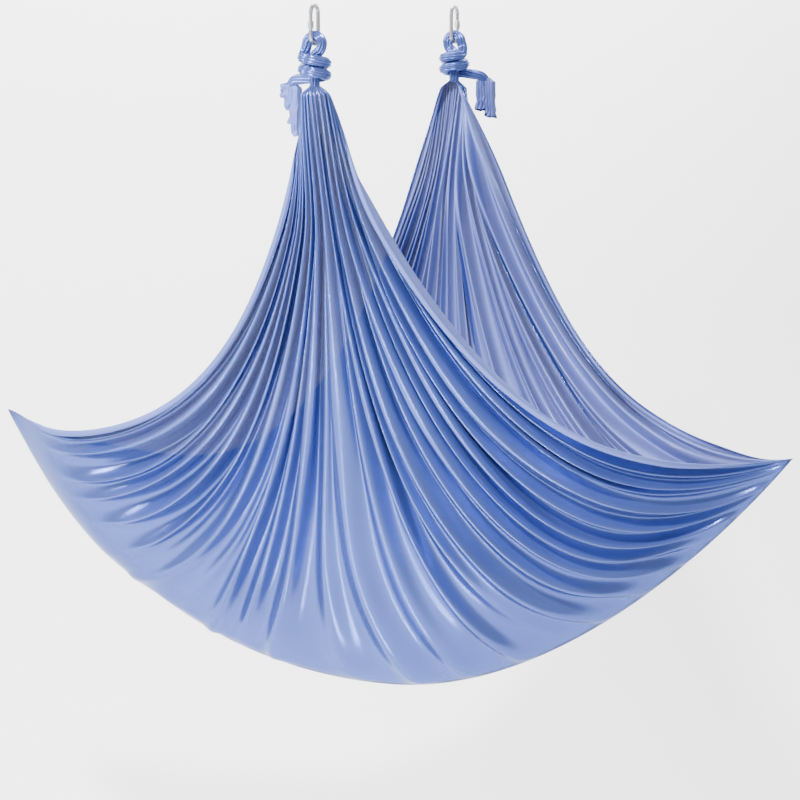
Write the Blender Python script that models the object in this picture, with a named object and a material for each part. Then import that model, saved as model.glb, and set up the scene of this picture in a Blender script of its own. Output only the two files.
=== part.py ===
"""Aerial hammock: one wide sheet of cloth, knotted at each end onto a screw lock carabiner.

Metres, +Z up. +X runs from tip to tip of the cloth, +Y from the front knot to the rear knot.
The origin is midway between the two hanging points, at the height where each carabiner bears
on what holds it. The front end stands at -Y and the rear end at +Y.
"""
import bpy
import bmesh
import numpy as np
from math import acosh, cos, pi, radians, sin
from mathutils import Vector

MM = 0.001
FIT_GAP = 0.3 * MM              # between two solids that touch on the real object
OVERRUN = 2.0 * MM              # how far a cutter passes the face that it opens

# Where the hammock hangs
HANG_SPACING = 918 * MM         # between the two hanging points

# Carabiner: an oval of round bar, seen in its own upright plane
BAR_R = 5.5 * MM
EYE_HALF_WIDTH = 22 * MM        # middle of the bar to the oval's upright middle line
STRAIGHT_LENGTH = 55 * MM
BOW_STEPS = 12                  # facets round each half circle of the oval
STRAIGHT_STEPS = 3
BAR_SIDES = 12

# Gate of the carabiner
GATE_R = 5.0 * MM
PIVOT_RISE = 6.5 * MM           # pivot above the end of the lower half circle
PIVOT_PIN_R = 1.5 * MM
LATCH_PIN_R = 1.25 * MM
LATCH_RISE = 38 * MM            # latch pin above the pivot
GATE_TOP_OVER_LATCH = 4.0 * MM
TONGUE_THICK = 4.0 * MM         # both the pivot tongue and the nose hook
TONGUE_R = 4.0 * MM             # round end of the pivot tongue
HOOK_TOE_THICK = 0.9 * MM       # the toe that goes under the latch pin
HOOK_TOE_REACH = 1.0 * MM       # how far the toe goes past the middle of the pin
SWING_CLEARANCE = 0.8 * MM      # above the gate, whose outer corner rises as it opens
SLOT_DEPTH_UNDER_LATCH = 4.0 * MM
BORE_R = 3.0 * MM
SPRING_MEAN_R = 2.0 * MM
SPRING_WIRE_R = 0.4 * MM
SPRING_TURNS = 6
SPRING_TURN_STEPS = 9
SPRING_SIDES = 6
SPRING_LENGTH = 13 * MM
PLUNGER_LENGTH = 6.5 * MM
PLUNGER_R = 2.4 * MM
ROUND_SIDES = 16

# Locking sleeve on the gate, shown screwed down so that the gate can open
SLEEVE_WALL = 2.2 * MM
SLEEVE_LENGTH = 20 * MM
SLEEVE_RISE = 10.5 * MM         # lower edge above the pivot
SLEEVE_FLUTES = 14
FLUTE_DEPTH = 0.6 * MM
SLEEVE_CHAMFER = 1.2 * MM

# Cloth drawn together at an end, as it passes through the carabiner and round itself
BUNDLE_R = 14 * MM
BUNDLE_SIDES = 12
SADDLE_CLEARANCE = 1.2 * MM     # between the bar and the facets of the cloth over it
TURN_CLEARANCE = 2.5 * MM       # between two turns of the knot
KNOT_TURNS = 1.75
KNOT_TURN_POINTS = 16
SADDLE_POINTS = 9
STANDING_SHARE = 0.75           # how far out the cloth still is, halfway to the first turn
ROUTE_STEPS = 12                # curve steps between two points of a route
KNOT_TOP_DROP = 32 * MM         # first turn, below the middle of the lower bar
NECK_DROP = 200 * MM            # where the cloth opens out, below the hanging point
TAIL_BACK = 62 * MM             # from the neck, away from the viewer at both ends
TAIL_TURN_R = 25 * MM
TAIL_TURN_POINTS = 4
TAIL_LEAD = 7 * MM              # straight down into the tail

# Tails: the loose ends of the cloth
TAIL_TOP_DROP = 218 * MM
FRONT_TAIL_OUT = 97 * MM        # sideways from the neck
REAR_TAIL_OUT = 71 * MM
FRONT_TAIL_LENGTH = 117 * MM
REAR_TAIL_LENGTH = 92 * MM
TAIL_HALF_WIDTH = 29 * MM
TAIL_HALF_DEPTH = 17 * MM
TAIL_PLEATS = 9
TAIL_PLEAT_DEPTH = 5 * MM
TAIL_PLEAT_FULL_SHARE = 0.25    # of the way down, where the pleats reach their depth
TAIL_RING_SHARES = (0.0, 0.1, 0.25, 0.5, 0.78, 1.0)
TAIL_SPREAD_SHARES = (0.45, 0.8, 1.0, 0.92, 1.08, 1.0)

# Cloth
CLOTH_THICK = 2.0 * MM          # of the solid that stands for the cloth
# Rows of the cloth, down from a neck to the bottom
ROW_SHARES = (0.0, 0.02, 0.1, 0.21, 0.35, 0.5, 0.66, 0.83, 1.0)
# Crests of the folds across the cloth, from its left edge to its right edge
CREST_SHARES = (-1.0, -0.86, -0.74, -0.63, -0.55, -0.47, -0.39, -0.3, -0.2, -0.1,
                0.02, 0.15, 0.28, 0.44, 0.58, 0.71, 0.85, 1.0)
# Depth of the folds as a share of their width, on each row
FOLD_DEPTH_SHARES = (0.0, 0.3, 0.3, 0.6, 1.1, 1.1, 0.8, 0.4, 0.0)
FOLD_MAX = 50 * MM
FOLD_CLEAR_SHARE = 0.5          # of the way to the upright plane between the two panels
BOTTOM_DROP = 1852 * MM
LEFT_TIP = (-1200 * MM, -1146 * MM)     # x and z of the two tips
RIGHT_TIP = (1151 * MM, -1164 * MM)
TIP_TAPER = 500 * MM            # over which the two panels close onto each tip
LEFT_BELLY_REACH = 845 * MM     # how far the bottom stays level, as a curve handle
RIGHT_BELLY_REACH = 610 * MM
NECK_RIM_R = 12 * MM
NECK_R = 36 * MM
NECK_LENGTH = 22 * MM           # over which the cloth opens from its rim to the neck
NECK_END = 420 * MM             # where the neck has opened into the flat sheet
NECK_WRAP = radians(150)        # how far round each side of the neck the cloth goes
SECTION_SHAPE = 5.0             # of the hanging section across the hammock
SPREAD_POWER = 2.3              # crowds the folds towards the tips

# Handles of the long edges, outward x and z, in the order near the neck, near the tip
EDGE_HANDLES = {
    ("front", "left"): ((172 * MM, -707 * MM), (307 * MM, -1278 * MM)),
    ("front", "right"): ((248 * MM, -852 * MM), (645 * MM, -1232 * MM)),
    ("rear", "right"): ((247 * MM, -520 * MM), (349 * MM, -1313 * MM)),
    ("rear", "left"): ((191 * MM, -687 * MM), (321 * MM, -1686 * MM)),
}
# Handles of the folds at the middle, one third and two thirds of the way to an edge
NECK_HANDLES = ((0, -730 * MM), (50 * MM, -730 * MM), (105 * MM, -710 * MM))
BELLY_HANDLES = {
    ("front", "left"): ((0, -1280 * MM), (220 * MM, -1540 * MM), (320 * MM, -1440 * MM)),
    ("front", "right"): ((0, -1280 * MM), (260 * MM, -1710 * MM), (560 * MM, -1650 * MM)),
    ("rear", "right"): ((0, -1280 * MM), (260 * MM, -1710 * MM), (560 * MM, -1650 * MM)),
    ("rear", "left"): ((0, -1280 * MM), (200 * MM, -1560 * MM), (300 * MM, -1680 * MM)),
}
CURVE_SAMPLES = 161

# Worked out from the sizes above
SLEEVE_R = GATE_R + FIT_GAP + SLEEVE_WALL
BOW_TOP_Z = BAR_R                                   # middle of the bar where the load bears
UPPER_ARC_Z = BOW_TOP_Z - EYE_HALF_WIDTH
LOWER_ARC_Z = UPPER_ARC_Z - STRAIGHT_LENGTH
LOWER_BAR_Z = LOWER_ARC_Z - EYE_HALF_WIDTH
PIVOT_Z = LOWER_ARC_Z + PIVOT_RISE
LATCH_Z = PIVOT_Z + LATCH_RISE
GATE_TOP_Z = LATCH_Z + GATE_TOP_OVER_LATCH
NOSE_Z = GATE_TOP_Z + SWING_CLEARANCE
SHOULDER_Z = PIVOT_Z - GATE_R - SWING_CLEARANCE
SADDLE_R = BAR_R + SADDLE_CLEARANCE + BUNDLE_R
COIL_R = 2 * BUNDLE_R + TURN_CLEARANCE
COIL_PITCH = 2 * BUNDLE_R + TURN_CLEARANCE
COIL_TOP_Z = LOWER_BAR_Z - KNOT_TOP_DROP
HALF_SPACING = HANG_SPACING / 2


def clear_scene():
    for obj in list(bpy.data.objects):
        bpy.data.objects.remove(obj, do_unlink=True)


def material(name, colour, roughness, metallic):
    made = bpy.data.materials.new(name)
    made.use_nodes = True
    shader = made.node_tree.nodes["Principled BSDF"]
    shader.inputs["Base Color"].default_value = (*colour, 1.0)
    shader.inputs["Roughness"].default_value = roughness
    shader.inputs["Metallic"].default_value = metallic
    return made


def add_object(name, data, look, end=None, pivot=(0, 0, 0)):
    """Place a mesh or curve. end is -1 at the front, +1 at the rear, which is turned half round."""
    obj = bpy.data.objects.new(name, data)
    bpy.context.scene.collection.objects.link(obj)
    if look:
        data.materials.append(look)
    obj.location = pivot
    if end is not None:
        turned = end > 0
        x, y, z = pivot
        obj.location = (-x if turned else x, end * HALF_SPACING + (-y if turned else y), z)
        obj.rotation_euler = (0, 0, pi if turned else 0)
    return obj


def mesh_from(name, verts, faces, smooth_angle=radians(40)):
    mesh = bpy.data.meshes.new(name)
    mesh.from_pydata([tuple(v) for v in verts], [], faces)
    shape = bmesh.new()
    shape.from_mesh(mesh)
    bmesh.ops.recalc_face_normals(shape, faces=shape.faces)
    shape.to_mesh(mesh)
    shape.free()
    mesh.shade_smooth()
    mesh.set_sharp_from_angle(angle=smooth_angle)
    return mesh


def loft(rings):
    """Closed solid through rings of equally many points, with flat ends."""
    count = len(rings[0])
    verts = [point for ring in rings for point in ring]
    faces = [tuple(range(count))[::-1]]
    for i in range(len(rings) - 1):
        for k in range(count):
            a = i * count + k
            b = i * count + (k + 1) % count
            faces.append((a, b, b + count, a + count))
    last = (len(rings) - 1) * count
    faces.append(tuple(range(last, last + count)))
    return verts, faces


def extrude_outline(outline, thick):
    """Solid of an outline in the YZ plane, thick along X, outline given anticlockwise from +X."""
    rings = [[(x, y, z) for y, z in outline] for x in (-thick / 2, thick / 2)]
    return loft(rings)


def arc(centre, radius, start, end, steps):
    y, z = centre
    angles = [start + (end - start) * i / steps for i in range(steps + 1)]
    return [(y + radius * cos(a), z + radius * sin(a)) for a in angles]


def upright_cylinder(radius, low, high, sides=ROUND_SIDES, centre=(0, 0)):
    rings = []
    for z in (low, high):
        ring = [(centre[0] + radius * cos(2 * pi * k / sides),
                 centre[1] + radius * sin(2 * pi * k / sides), z) for k in range(sides)]
        rings.append(ring)
    return loft(rings)


def cross_cylinder(radius, length, sides=ROUND_SIDES, centre=(0, 0)):
    """Cylinder along X, centred on it, at centre in y and z."""
    outline = arc(centre, radius, 0, 2 * pi * (sides - 1) / sides, sides - 1)
    return extrude_outline(outline, length)


def box(low, high):
    outline = [(low[1], low[2]), (high[1], low[2]), (high[1], high[2]), (low[1], high[2])]
    verts, faces = extrude_outline(outline, high[0] - low[0])
    middle = (low[0] + high[0]) / 2
    return [(x + middle, y, z) for x, y, z in verts], faces


def cut(target, operation, name, solid, end, pivot):
    """Boolean with a solid that stays out of the build."""
    tool = add_object(f"tool_{target.name}_{name}", mesh_from(name, *solid), None, end, pivot)
    tool.hide_render = True
    tool.display_type = "WIRE"
    step = target.modifiers.new(name, "BOOLEAN")
    step.operation = operation
    step.object = tool


def tube_object(name, points, radius, sides, look, end):
    """Round tube along points, with filled ends, as a curve object."""
    curve = bpy.data.curves.new(name, "CURVE")
    curve.dimensions = "3D"
    curve.bevel_depth = radius
    curve.bevel_resolution = sides // 2 - 2
    curve.use_fill_caps = True
    spline = curve.splines.new("POLY")
    spline.points.add(len(points) - 1)
    for slot, point in zip(spline.points, points):
        slot.co = (*point, 1.0)
    spline.use_smooth = True
    return add_object(name, curve, look, end)


def least_gap(points, radius, skip):
    """Least space between stretches of one tube that are more than skip of its length apart."""
    points = np.array(points)
    along = np.concatenate([[0], np.cumsum(np.linalg.norm(np.diff(points, axis=0), axis=1))])
    apart = np.linalg.norm(points[:, None] - points[None], axis=2)
    far = np.abs(along[:, None] - along[None]) > skip
    return float(apart[far].min() - 2 * radius)


def smooth_route(route, spacing):
    """Points at an even spacing on a smooth curve through the route's own points."""
    route = np.array([np.array(p, dtype=float) for p in route])
    padded = np.vstack([2 * route[0] - route[1], route, 2 * route[-1] - route[-2]])
    fine = []
    for i in range(1, len(padded) - 2):
        p0, p1, p2, p3 = padded[i - 1:i + 3]
        for t in np.linspace(0, 1, ROUTE_STEPS, endpoint=False):
            fine.append(0.5 * (2 * p1 + (p2 - p0) * t + (2 * p0 - 5 * p1 + 4 * p2 - p3) * t ** 2
                               + (3 * p1 - p0 - 3 * p2 + p3) * t ** 3))
    fine.append(route[-1])
    fine = np.array(fine)
    along = np.concatenate([[0], np.cumsum(np.linalg.norm(np.diff(fine, axis=0), axis=1))])
    count = max(2, round(along[-1] / spacing))
    wanted = np.linspace(0, along[-1], count + 1)
    return np.stack([np.interp(wanted, along, fine[:, k]) for k in range(3)], axis=1)


def carabiner_middle_line():
    """Points and radii of the bar, from the gate's shoulder round the oval to the nose."""
    side = EYE_HALF_WIDTH
    line = [(-side, SHOULDER_Z)]
    line += arc((0, LOWER_ARC_Z), side, pi, 2 * pi, BOW_STEPS)
    for i in range(1, STRAIGHT_STEPS):
        line.append((side, LOWER_ARC_Z + STRAIGHT_LENGTH * i / STRAIGHT_STEPS))
    line += arc((0, UPPER_ARC_Z), side, 0, pi, BOW_STEPS)
    radii = [BAR_R] * len(line)
    neck_down = BAR_R - GATE_R
    line += [(-side, UPPER_ARC_Z - neck_down), (-side, NOSE_Z)]
    radii += [GATE_R, GATE_R]
    return line, radii


def bar_solid():
    line, radii = carabiner_middle_line()
    rings = []
    for i, ((y, z), radius) in enumerate(zip(line, radii)):
        before, after = line[max(i - 1, 0)], line[min(i + 1, len(line) - 1)]
        along = Vector((0, after[0] - before[0], after[1] - before[1])).normalized()
        across = along.cross(Vector((1, 0, 0)))
        ring = []
        for k in range(BAR_SIDES):
            angle = 2 * pi * (k + 0.5) / BAR_SIDES
            ring.append(Vector((0, y, z)) + Vector((radius * cos(angle), 0, 0))
                        + across * radius * sin(angle))
        rings.append(ring)
    return loft(rings)


def pivot_tongue_outline():
    side = EYE_HALF_WIDTH
    low = SHOULDER_Z - OVERRUN
    outline = [(-side - TONGUE_R, low), (-side + TONGUE_R, low)]
    return outline + arc((-side, PIVOT_Z), TONGUE_R, 0, pi, ROUND_SIDES // 2)


def nose_hook_outline():
    """Hook that drops from the nose outside the latch pin, with its toe under the pin."""
    middle = -EYE_HALF_WIDTH
    seat = LATCH_PIN_R + FIT_GAP
    outer = middle - GATE_R + 2 * FIT_GAP
    inner = middle + TONGUE_R
    top = NOSE_Z + OVERRUN
    toe_end = middle + HOOK_TOE_REACH
    outline = [(outer, top), (outer, LATCH_Z - seat - HOOK_TOE_THICK)]
    outline += [(toe_end, LATCH_Z - seat - HOOK_TOE_THICK), (toe_end, LATCH_Z - seat)]
    outline += arc((middle, LATCH_Z), seat, 1.5 * pi, 0.5 * pi, ROUND_SIDES // 2)
    outline += [(inner, LATCH_Z + seat), (inner, top)]
    return outline


def build_carabiner_body(end, name, steel):
    body = add_object(f"{name}_carabiner_body", mesh_from("bar", *bar_solid()), steel, end)
    tongue = extrude_outline(pivot_tongue_outline(), TONGUE_THICK)
    cut(body, "UNION", "pivot_tongue", tongue, end, (0, 0, 0))
    cut(body, "UNION", "nose_hook", extrude_outline(nose_hook_outline(), TONGUE_THICK), end,
        (0, 0, 0))
    hole = cross_cylinder(PIVOT_PIN_R + FIT_GAP, 2 * BAR_R, centre=(-EYE_HALF_WIDTH, PIVOT_Z))
    cut(body, "DIFFERENCE", "pivot_hole", hole, end, (0, 0, 0))


def gate_envelope_outline():
    """Round lower end about the pivot, then wider than the gate up past its top."""
    wide = GATE_R + OVERRUN
    top = GATE_TOP_Z - PIVOT_Z + OVERRUN
    outline = arc((0, 0), GATE_R, pi, 2 * pi, ROUND_SIDES)
    return outline + [(wide, 0), (wide, top), (-wide, top), (-wide, 0)]


def build_gate(end, name, steel):
    """Gate about its pivot: forked at both ends, bored for the spring and its plunger."""
    pivot = (0, -EYE_HALF_WIDTH, PIVOT_Z)
    top = GATE_TOP_Z - PIVOT_Z
    latch = LATCH_Z - PIVOT_Z
    barrel = upright_cylinder(GATE_R, -GATE_R - OVERRUN, top)
    gate = add_object(f"{name}_gate", mesh_from("gate", *barrel), steel, end, pivot)
    slot_half = TONGUE_THICK / 2 + FIT_GAP
    wide = GATE_R + OVERRUN
    lower_slot_top = TONGUE_R + 2 * FIT_GAP
    bore_top = lower_slot_top + PLUNGER_LENGTH + SPRING_LENGTH + 2 * FIT_GAP
    cutters = [
        ("INTERSECT", "round_end", extrude_outline(gate_envelope_outline(), 2 * wide)),
        ("DIFFERENCE", "lower_slot", box((-slot_half, -wide, -wide),
                                         (slot_half, wide, lower_slot_top))),
        ("DIFFERENCE", "upper_slot", box((-slot_half, -wide, latch - SLOT_DEPTH_UNDER_LATCH),
                                         (slot_half, wide, top + OVERRUN))),
        ("DIFFERENCE", "bore", upright_cylinder(BORE_R, lower_slot_top - OVERRUN, bore_top)),
        ("DIFFERENCE", "pivot_hole", cross_cylinder(PIVOT_PIN_R + FIT_GAP, 2 * wide)),
        ("DIFFERENCE", "latch_hole", cross_cylinder(LATCH_PIN_R + FIT_GAP, 2 * wide,
                                                    centre=(0, latch))),
    ]
    for operation, label, solid in cutters:
        cut(gate, operation, label, solid, end, pivot)


def build_gate_pins(end, name, steel):
    pin_length = 2 * GATE_R - 2 * FIT_GAP
    pivot = (0, -EYE_HALF_WIDTH, PIVOT_Z)
    latch = (0, -EYE_HALF_WIDTH, LATCH_Z)
    pins = (("pivot_pin", PIVOT_PIN_R, pivot), ("latch_pin", LATCH_PIN_R, latch))
    for label, radius, place in pins:
        pin = cross_cylinder(radius, pin_length)
        add_object(f"{name}_{label}", mesh_from(label, *pin), steel, end, place)


def build_gate_spring(end, name, steel):
    """Plunger that bears on the pivot tongue, and the coil spring behind it."""
    axis = (0, -EYE_HALF_WIDTH, PIVOT_Z)
    low = TONGUE_R + FIT_GAP
    high = low + PLUNGER_LENGTH
    nose = PLUNGER_R / 2
    rings = []
    for radius, z in ((nose, low), (PLUNGER_R, low + nose), (PLUNGER_R, high)):
        angles = [2 * pi * k / BAR_SIDES for k in range(BAR_SIDES)]
        rings.append([(radius * cos(a), radius * sin(a), z) for a in angles])
    add_object(f"{name}_gate_plunger", mesh_from("plunger", *loft(rings)), steel, end, axis)

    steps = SPRING_TURNS * SPRING_TURN_STEPS
    start = PIVOT_Z + high + FIT_GAP + SPRING_WIRE_R
    rise = SPRING_LENGTH - 2 * SPRING_WIRE_R - FIT_GAP
    coil = []
    for i in range(steps + 1):
        angle = 2 * pi * SPRING_TURNS * i / steps
        coil.append((SPRING_MEAN_R * cos(angle), SPRING_MEAN_R * sin(angle) - EYE_HALF_WIDTH,
                     start + rise * i / steps))
    gap = least_gap(coil, SPRING_WIRE_R, pi * SPRING_MEAN_R)
    print(f"{name} gate spring: least gap to itself {gap / MM:.2f} mm")
    tube_object(f"{name}_gate_spring", coil, SPRING_WIRE_R, SPRING_SIDES, steel, end)


def build_sleeve(end, name, steel):
    """Fluted sleeve round the gate, as a ring of six loops."""
    count = 2 * SLEEVE_FLUTES
    inner = (GATE_R + FIT_GAP) / cos(pi / count)
    low = SLEEVE_RISE
    high = low + SLEEVE_LENGTH
    profile = ((inner, low, False), (SLEEVE_R - SLEEVE_CHAMFER, low, False),
               (SLEEVE_R, low + SLEEVE_CHAMFER, True), (SLEEVE_R, high - SLEEVE_CHAMFER, True),
               (SLEEVE_R - SLEEVE_CHAMFER, high, False), (inner, high, False))
    verts = []
    for radius, z, fluted in profile:
        for k in range(count):
            angle = 2 * pi * k / count
            reach = radius - (FLUTE_DEPTH if fluted and k % 2 else 0)
            verts.append((reach * cos(angle), reach * sin(angle), z))
    faces = []
    for i in range(len(profile)):
        for k in range(count):
            a, b = i * count, (i + 1) % len(profile) * count
            step = (k + 1) % count
            faces.append((a + k, a + step, b + step, b + k))
    axis = (0, -EYE_HALF_WIDTH, PIVOT_Z)
    add_object(f"{name}_locking_sleeve", mesh_from("sleeve", verts, faces), steel, end, axis)


def knot_route(hand, tail_out):
    """Middle line of the bundled cloth: up, over the lower bar, round itself, out to the tail.

    hand is 1 or -1, for turns one way or the other.
    """
    neck_end = -NECK_DROP + CLOTH_THICK / 2 + FIT_GAP
    route = [(0, 0, neck_end), (0, 0, (neck_end + COIL_TOP_Z) / 2), (0, 0, COIL_TOP_Z)]
    route.append((SADDLE_R * STANDING_SHARE, 0, (COIL_TOP_Z + LOWER_BAR_Z) / 2))
    for i in range(SADDLE_POINTS):
        angle = pi * i / (SADDLE_POINTS - 1)
        route.append((SADDLE_R * cos(angle), 0, LOWER_BAR_Z + SADDLE_R * sin(angle)))
    route.append((-(SADDLE_R + COIL_R) / 2, 0, (COIL_TOP_Z + LOWER_BAR_Z) / 2))
    steps = round(KNOT_TURNS * KNOT_TURN_POINTS)
    for i in range(1, steps + 1):
        angle = pi + 2 * pi * i / KNOT_TURN_POINTS
        route.append((COIL_R * cos(angle), COIL_R * sin(angle),
                      COIL_TOP_Z - COIL_PITCH * i / KNOT_TURN_POINTS))
    way = Vector((-tail_out, TAIL_BACK - COIL_R, 0)).normalized()
    end = Vector((-tail_out, TAIL_BACK, -TAIL_TOP_DROP + FIT_GAP))
    for i in range(TAIL_TURN_POINTS):
        angle = pi / 2 * i / (TAIL_TURN_POINTS - 1)
        rise = Vector((0, 0, TAIL_LEAD + TAIL_TURN_R * cos(angle)))
        route.append(end - way * TAIL_TURN_R * (1 - sin(angle)) + rise)
    route.append(end)
    return [(x, hand * y, z) for x, y, z in route]


def build_knot(end, name, hand, tail_out, cloth):
    points = smooth_route(knot_route(hand, tail_out), BUNDLE_R / 2)
    gap = least_gap(points, BUNDLE_R, pi * BUNDLE_R)
    print(f"{name} knot: least gap to itself {gap / MM:.2f} mm, {len(points)} points")
    tube_object(f"{name}_knot", points, BUNDLE_R, BUNDLE_SIDES, cloth, end)


def build_tail(end, name, hand, out, length, cloth):
    """Loose end of the cloth, gathered at the knot and spread into pleats below it."""
    count = 4 * TAIL_PLEATS
    rings = []
    for down, spread in zip(TAIL_RING_SHARES, TAIL_SPREAD_SHARES):
        ring = []
        for k in range(count):
            angle = 2 * pi * k / count
            pleat = TAIL_PLEAT_DEPTH * min(1, down / TAIL_PLEAT_FULL_SHARE)
            pleat *= cos(TAIL_PLEATS * angle)
            x = (TAIL_HALF_WIDTH * spread + pleat) * cos(angle)
            y = (TAIL_HALF_DEPTH * spread + pleat) * sin(angle)
            ring.append((x - out, y + hand * TAIL_BACK, -TAIL_TOP_DROP - length * down))
        rings.append(ring[::-1])
    add_object(f"{name}_tail", mesh_from("tail", *loft(rings)), cloth, end)


def cubic(handles, t):
    """Points of a cubic curve in x and z."""
    p = np.array(handles, dtype=float)
    t = np.asarray(t)[..., None]
    return ((1 - t) ** 3 * p[0] + 3 * (1 - t) ** 2 * t * p[1]
            + 3 * (1 - t) * t ** 2 * p[2] + t ** 3 * p[3])


def ease(low, high, x):
    t = np.clip((np.asarray(x, dtype=float) - low) / (high - low), 0, 1)
    return t * t * (3 - 2 * t)


def belly_line(side):
    """Half of the fold line along the hammock's bottom, from the middle to a tip."""
    tip = LEFT_TIP if side == "left" else RIGHT_TIP
    reach = -LEFT_BELLY_REACH if side == "left" else RIGHT_BELLY_REACH
    handles = [(0, -BOTTOM_DROP), (reach, -BOTTOM_DROP), tip, tip]
    return cubic(handles, np.linspace(0, 1, CURVE_SAMPLES))


def length_along(points):
    steps = np.linalg.norm(np.diff(points, axis=0), axis=1)
    return np.concatenate([[0], np.cumsum(steps)])


def at_share(points, shares):
    """Points at shares of the length of a polyline."""
    along = length_along(points)
    wanted = np.asarray(shares) * along[-1]
    return np.stack([np.interp(wanted, along, points[:, k]) for k in range(points.shape[1])],
                    axis=-1)


def across_guides(values, share):
    """Cubic through values at the middle, one third, two thirds and the edge."""
    a = share
    weights = (-4.5 * (a - 1 / 3) * (a - 2 / 3) * (a - 1), 13.5 * a * (a - 2 / 3) * (a - 1),
               -13.5 * a * (a - 1 / 3) * (a - 1), 4.5 * a * (a - 1 / 3) * (a - 2 / 3))
    return sum(w * np.array(v, dtype=float) for w, v in zip(weights, values))


def fall_line(panel, spread, row_shares):
    """One line of the unfolded cloth from its neck to the bottom.

    spread runs from -1 at the left edge to 1 at the right edge.
    """
    side = "left" if spread < 0 else "right"
    way = -1 if side == "left" else 1
    share = abs(spread)
    near_neck, near_tip = EDGE_HANDLES[(panel, side)]
    first = across_guides((*NECK_HANDLES, near_neck), share)
    second = across_guides((*BELLY_HANDLES[(panel, side)], near_tip), share)
    end = at_share(belly_line(side), 1 - (1 - share) ** SPREAD_POWER)
    handles = [(0, -NECK_DROP), (way * first[0], first[1]), (way * second[0], second[1]), end]
    flat = cubic(handles, np.linspace(0, 1, CURVE_SAMPLES))

    belly = np.vstack([belly_line("left")[::-1], belly_line("right")[1:]])
    low = np.interp(flat[:, 0], belly[:, 0], belly[:, 1])
    rise = np.clip((flat[:, 1] - low) / (-NECK_DROP - low), 0, 1)
    out = HALF_SPACING * np.arccosh(1 + (SECTION_SHAPE - 1) * rise) / acosh(SECTION_SHAPE)
    tip = LEFT_TIP if side == "left" else RIGHT_TIP
    closed_share = 1 - np.clip(np.abs(flat[:, 0] - tip[0]) / TIP_TAPER, 0, 1)
    out = out * (1 - closed_share ** 2)
    front = -1 if panel == "front" else 1
    line = np.stack([flat[:, 0], front * out, flat[:, 1]], axis=1)

    down = length_along(line)
    radius = NECK_RIM_R + (NECK_R - NECK_RIM_R) * ease(0, NECK_LENGTH, down)
    radius = radius * (1 - ease(NECK_LENGTH, NECK_END, down))
    wrap = NECK_WRAP * spread
    line[:, 0] += radius * sin(wrap)
    line[:, 1] += front * radius * cos(wrap)
    return at_share(line, row_shares)


def cloth_columns():
    """Each crest and, halfway to the next one, the valley between them."""
    columns = [CREST_SHARES[0]]
    for last, crest in zip(CREST_SHARES, CREST_SHARES[1:]):
        columns += [(last + crest) / 2, crest]
    return columns


def cloth_grid():
    """Middle surface of the cloth: rows from the front neck to the rear neck.

    The crests stand on the smooth drape, and each valley is folded in from it.
    """
    columns = cloth_columns()
    front = np.array([fall_line("front", s, ROW_SHARES) for s in columns])
    rear = np.array([fall_line("rear", s, ROW_SHARES) for s in columns])
    base = np.concatenate([front, rear[:, -2::-1]], axis=1)
    depths = np.array(FOLD_DEPTH_SHARES + FOLD_DEPTH_SHARES[-2::-1])

    across = np.gradient(base, axis=0)
    along = np.gradient(base, axis=1)
    outward = np.cross(across, along)
    outward /= np.linalg.norm(outward, axis=2, keepdims=True)
    if outward[len(columns) // 2, 1, 1] > 0:
        outward = -outward
    width = np.linalg.norm(base[2::2] - base[:-2:2], axis=2)
    room = FOLD_CLEAR_SHARE * np.abs(base[1::2, :, 1])
    depth = np.minimum(np.minimum(depths * width, FOLD_MAX), room)
    base[1::2] -= outward[1::2] * depth[..., None]
    return base


def build_cloth(cloth):
    grid = cloth_grid()
    columns, rows = grid.shape[:2]
    verts = grid.reshape(-1, 3)
    faces = []
    for i in range(columns - 1):
        for j in range(rows - 1):
            a = i * rows + j
            faces.append((a, a + rows, a + rows + 1, a + 1))
    mesh = bpy.data.meshes.new("cloth")
    mesh.from_pydata([tuple(v) for v in verts], [], faces)
    mesh.shade_smooth()
    sheet = add_object("hammock_cloth", mesh, cloth)
    solid = sheet.modifiers.new("thickness", "SOLIDIFY")
    solid.thickness = CLOTH_THICK
    solid.offset = 0


def main():
    clear_scene()
    steel = material("zinc_plated_steel", (0.62, 0.63, 0.65), 0.32, 1.0)
    dark_steel = material("dark_steel", (0.32, 0.33, 0.35), 0.4, 1.0)
    cloth = material("satin_cloth", (0.33, 0.42, 0.76), 0.38, 0.0)
    ends = ((-1, "front", 1, FRONT_TAIL_OUT, FRONT_TAIL_LENGTH),
            (1, "rear", -1, REAR_TAIL_OUT, REAR_TAIL_LENGTH))
    for end, name, hand, tail_out, tail_length in ends:
        build_carabiner_body(end, name, steel)
        build_gate(end, name, steel)
        build_gate_pins(end, name, dark_steel)
        build_gate_spring(end, name, dark_steel)
        build_sleeve(end, name, steel)
        build_knot(end, name, hand, tail_out, cloth)
        build_tail(end, name, hand, tail_out, tail_length, cloth)
    build_cloth(cloth)


main()
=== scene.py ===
"""Looks of the aerial hammock: draped satin cloth, knots, tails, steel, studio and camera."""
from math import acosh, cos, pi, radians, sin

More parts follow.
